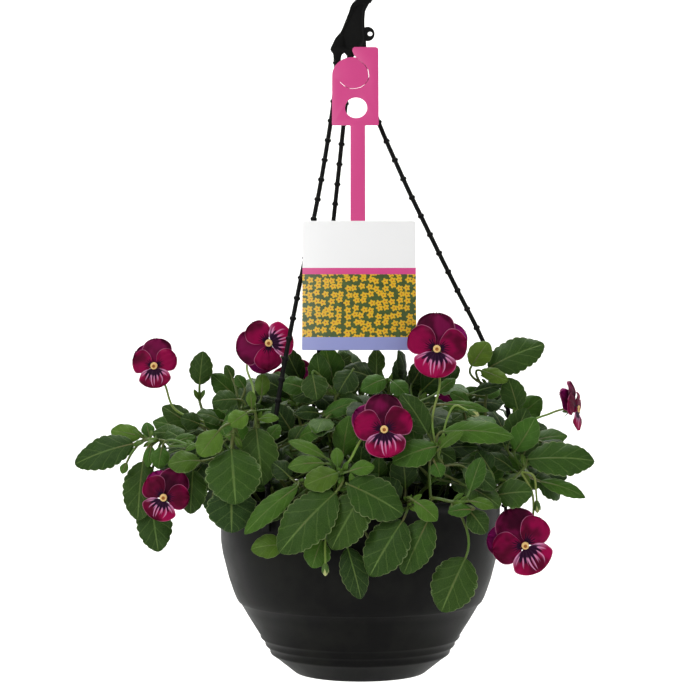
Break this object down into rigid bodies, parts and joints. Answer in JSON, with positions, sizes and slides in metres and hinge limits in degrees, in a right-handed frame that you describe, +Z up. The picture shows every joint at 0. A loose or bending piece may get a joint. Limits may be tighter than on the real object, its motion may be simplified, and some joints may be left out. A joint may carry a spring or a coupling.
{
  "type": "potted hanging flower basket",
  "caption": "Flowering pansy in a round moulded hanging pot, with a three-strand hanger, a hook and a die-cut hang tag.",
  "frame": {"origin": "inner crown of the hook, where the basket hangs on its rail", "axes": "+Z up, -Y towards the viewer of the picture, +X to the viewer's right"},
  "size_m": [0.447, 0.3747, 0.6558],
  "materials": {
    "pot_plastic": "matte black polypropylene with a faint grain",
    "hanger_plastic": "satin black polypropylene",
    "tag_sheet": "pink printed plastic sheet",
    "compost": null,
    "foliage": null,
    "petals": null,
    "flower_eyes": null
  },
  "bodies": {
    "root": {"pot": "pot_plastic", "soil": "compost", "hanger_hub": "hanger_plastic", "strand_left": "hanger_plastic", "strand_back": "hanger_plastic", "strand_right": "hanger_plastic", "hang_tag": "tag_sheet", "shoot_left_far": "foliage", "shoot_left_front": "foliage", "shoot_left_round": "foliage", "shoot_left_inner": "foliage", "shoot_left_top": "foliage", "shoot_left_buds": "foliage", "shoot_front_left_low": "foliage", "shoot_front_left": "foliage", "shoot_front_middle": "foliage", "shoot_front_right": "foliage", "shoot_front_right_low": "foliage", "shoot_front_centre": "foliage", "shoot_centre_top": "foliage", "shoot_centre_left": "foliage", "shoot_right_top": "foliage", "shoot_right_bright": "foliage", "shoot_right_low": "foliage", "shoot_back_1": "foliage", "shoot_back_2": "foliage", "shoot_back_3": "foliage", "shoot_back_4": "foliage", "shoot_back_5": "foliage", "shoot_back_6": "foliage", "shoot_back_7": "foliage", "shoot_back_8": "foliage", "shoot_upright_1": "foliage", "shoot_upright_2": "foliage", "shoot_upright_3": "foliage", "shoot_upright_4": "foliage", "shoot_upright_5": "foliage", "bloom_1_petals": "petals", "bloom_2_petals": "petals", "bloom_3_petals": "petals", "bloom_4_petals": "petals", "bloom_5_petals": "petals", "bloom_6_petals": "petals", "bloom_7_petals": "petals", "bloom_8_petals": "petals", "bloom_9_petals": "petals", "bloom_1_eye": "flower_eyes", "bloom_2_eye": "flower_eyes", "bloom_3_eye": "flower_eyes", "bloom_4_eye": "flower_eyes", "bloom_5_eye": "flower_eyes", "bloom_6_eye": "flower_eyes", "bloom_7_eye": "flower_eyes", "bloom_8_eye": "flower_eyes", "bloom_9_eye": "flower_eyes"}
  },
  "joints": []
}
